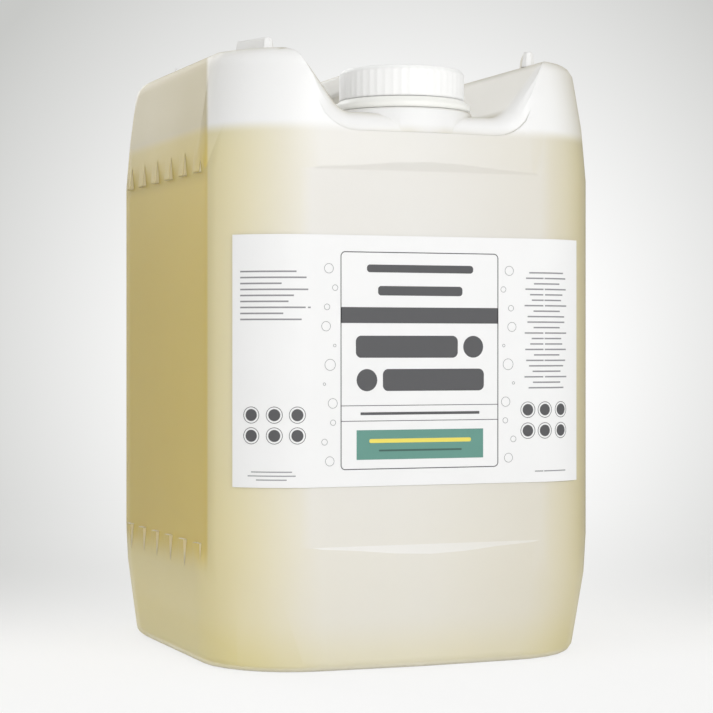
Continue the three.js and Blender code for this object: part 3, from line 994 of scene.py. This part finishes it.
class REFILL_OT_print(bpy.types.Operator):
    """Prints plain fields, bars, discs and bubbles on the label"""

    bl_idname = "refill.print"
    bl_label = "Label print"

    def execute(self, context):
        look = context.scene.refill_label
        wrap = Wrap(look)
        layers = (
            ("dark", look.ink_colour, 0),
            ("grey", look.pale_ink_colour, 0),
            ("green", look.accent_colour, 0),
            ("yellow", look.spark_colour, 1),
            ("shade", shaded(look.accent_colour, 0.4), 1),
        )
        inks = {name: bmesh.new() for name, _, _ in layers}
        draw_fields(inks)
        for columns, rows in BADGES:
            draw_badges(inks["dark"], columns, rows)
        for *sizes, rows, centred in SMALL_PRINT:
            draw_small_print(inks["grey"], *in_metres(sizes), rows, centred)
        for edge, side in BUBBLE_COLUMNS:
            draw_bubbles(inks["grey"], edge, side)
        for name, colour, layer in layers:
            material = film_material(f"print_{name}", colour, roughness=0.5)
            lift = look.ink_lift * layer
            wrapped_piece(inks[name], f"print_{name}", wrap, lift, look.ink_lift, material)
        return {"FINISHED"}


def add_softbox(name, place, width, height, power):
    light = bpy.data.lights.new(name, "AREA")
    light.shape = "RECTANGLE"
    light.size = width
    light.size_y = height
    light.energy = power
    holder = bpy.data.objects.new(name, light)
    holder.location = place
    aim = LIGHT_AIM - Vector(place)
    holder.rotation_euler = aim.to_track_quat("-Z", "Y").to_euler()
    bpy.context.scene.collection.objects.link(holder)


def floor_material(look):
    """Pale floor with weak shadows near the pack, under a wide glow that the camera sees behind it."""
    material, tree, shader = new_material("studio_floor")
    place = tree.nodes.new("ShaderNodeTexCoord")
    spot = tree.nodes.new("ShaderNodeSeparateXYZ")
    linked(tree, place.outputs["Object"], spot.inputs["Vector"])
    distance = tree.nodes.new("ShaderNodeVectorMath")
    distance.operation = "LENGTH"
    linked(tree, place.outputs["Object"], distance.inputs[0])
    far = soft_step(tree, distance.outputs["Value"], *FLOOR_FADE, look.floor_evenness, 1.0)
    path = tree.nodes.new("ShaderNodeLightPath")
    seen = maths(tree, "MAXIMUM", path.outputs["Is Camera Ray"], path.outputs["Is Glossy Ray"])
    seen = maths(tree, "MAXIMUM", seen, path.outputs["Is Transmission Ray"])
    even = maths(tree, "MULTIPLY", far, seen)
    eye = look.camera_place
    ahead = Vector((math.sin(look.heading), math.cos(look.heading), 0))
    across = Vector((ahead.y, -ahead.x, 0))

    def measured(axis):
        share_x = maths(tree, "MULTIPLY", spot.outputs["X"], axis.x)
        share_y = maths(tree, "MULTIPLY", spot.outputs["Y"], axis.y)
        from_origin = maths(tree, "ADD", share_x, share_y)
        return maths(tree, "SUBTRACT", from_origin, axis.x * eye[0] + axis.y * eye[1])

    depth = measured(ahead)
    right = maths(tree, "SUBTRACT", maths(tree, "DIVIDE", measured(across), depth), look.glow_right)
    up = maths(tree, "DIVIDE", maths(tree, "SUBTRACT", spot.outputs["Z"], eye[2]), depth)
    squares = maths(tree, "ADD", maths(tree, "POWER", right, 2), maths(tree, "POWER", up, 2))
    spread_out = maths(tree, "SQRT", squares)
    shade = spread(tree, spread_out, 0, 1)
    shade.node.inputs["From Min"].default_value = look.glow_reach * GLOW_CORE
    shade.node.inputs["From Max"].default_value = look.glow_reach
    floor_part = soft_step(tree, up, *FLOOR_SHADE)
    shade = maths(tree, "MULTIPLY", shade, floor_part)
    view = tinted(tree, shade, look.backdrop_colour, look.backdrop_shade)
    linked(tree, tinted(tree, even, look.floor_colour, (0, 0, 0)), shader.inputs["Base Color"])
    linked(tree, tinted(tree, even, (0, 0, 0), view), shader.inputs["Emission Color"])
    shader.inputs["Emission Strength"].default_value = 1
    shader.inputs["Roughness"].default_value = 0.9
    shader.inputs["Specular IOR Level"].default_value = 0
    return material


def backdrop(look):
    """Round floor whose rim sweeps up, so that no horizon shows from any side."""
    bm = bmesh.new()
    flat = BACKDROP_RADIUS - BACKDROP_SWEEP
    centre = bm.verts.new((0, 0, 0))
    edge = bm.verts.new((flat, 0, 0))
    bm.edges.new((centre, edge))
    turn = bmesh.ops.spin(
        bm, geom=[edge], cent=(flat, 0, BACKDROP_SWEEP), axis=(0, -1, 0), angle=math.pi / 2, steps=16
    )
    last = [item for item in turn["geom_last"] if isinstance(item, bmesh.types.BMVert)]
    lifted = bmesh.ops.extrude_vert_indiv(bm, verts=last)["verts"]
    bmesh.ops.translate(bm, verts=lifted, vec=(0, 0, BACKDROP_TOP - BACKDROP_SWEEP))
    bmesh.ops.spin(
        bm, geom=bm.verts[:] + bm.edges[:], cent=(0, 0, 0), axis=(0, 0, 1), angle=math.tau, steps=96,
        use_merge=True,
    )
    bmesh.ops.remove_doubles(bm, verts=bm.verts, dist=1e-5)
    bmesh.ops.recalc_face_normals(bm, faces=bm.faces)
    for face in bm.faces:
        face.smooth = True
    floor = mesh_object(bm, "floor")
    floor.data.materials.append(floor_material(look))


class REFILL_OT_studio(bpy.types.Operator):
    """Sets the camera, the pale floor and the soft lights"""

    bl_idname = "refill.studio"
    bl_label = "Studio"

    def execute(self, context):
        look = context.scene.refill_studio
        camera = bpy.data.cameras.new("camera")
        camera.lens = look.lens
        camera.sensor_width = 36
        camera.shift_y = look.rise
        holder = bpy.data.objects.new("camera", camera)
        holder.location = look.camera_place
        holder.rotation_euler = (math.pi / 2, 0, -look.heading)
        context.scene.collection.objects.link(holder)
        context.scene.camera = holder
        backdrop(look)
        for name, place, width, height in SOFTBOXES:
            add_softbox(name, place, width, height, getattr(look, f"{name}_power"))
        world = bpy.data.worlds.new("even_light")
        world.use_nodes = True
        background = world.node_tree.nodes["Background"]
        background.inputs["Color"].default_value = (1, 1, 1, 1)
        background.inputs["Strength"].default_value = look.sky
        context.scene.world = world
        context.scene.view_settings.view_transform = "Standard"
        return {"FINISHED"}


class REFILL_PT_pack(bpy.types.Panel):
    """Lists the steps that dress the pack"""

    bl_idname = "REFILL_PT_pack"
    bl_label = "Refill pack"
    bl_space_type = "VIEW_3D"
    bl_region_type = "UI"
    bl_category = "Refill pack"

    def draw(self, context):
        for operator in OPERATORS:
            self.layout.operator(operator.bl_idname)
        for name, _ in LOOKS:
            group = getattr(context.scene, name)
            box = self.layout.box()
            for key in group.__annotations__:
                box.prop(group, key)


LOOKS = (
    ("refill_container", ContainerLook),
    ("refill_soap", SoapLook),
    ("refill_closure", ClosureLook),
    ("refill_label", LabelLook),
    ("refill_studio", StudioLook),
)
OPERATORS = (
    REFILL_OT_container,
    REFILL_OT_soap,
    REFILL_OT_closure,
    REFILL_OT_label,
    REFILL_OT_print,
    REFILL_OT_studio,
)


def register():
    for name, look in LOOKS:
        bpy.utils.register_class(look)
        setattr(bpy.types.Scene, name, bpy.props.PointerProperty(type=look))
    for item in OPERATORS:
        bpy.utils.register_class(item)
    bpy.utils.register_class(REFILL_PT_pack)


def unregister():
    bpy.utils.unregister_class(REFILL_PT_pack)
    for item in reversed(OPERATORS):
        bpy.utils.unregister_class(item)
    for name, look in reversed(LOOKS):
        delattr(bpy.types.Scene, name)
        bpy.utils.unregister_class(look)


def main():
    register()
    bpy.ops.refill.container()
    bpy.ops.refill.soap()
    bpy.ops.refill.closure()
    bpy.ops.refill.label()
    bpy.ops.refill.print()
    bpy.ops.refill.studio()


if __name__ == "__main__":
    main()
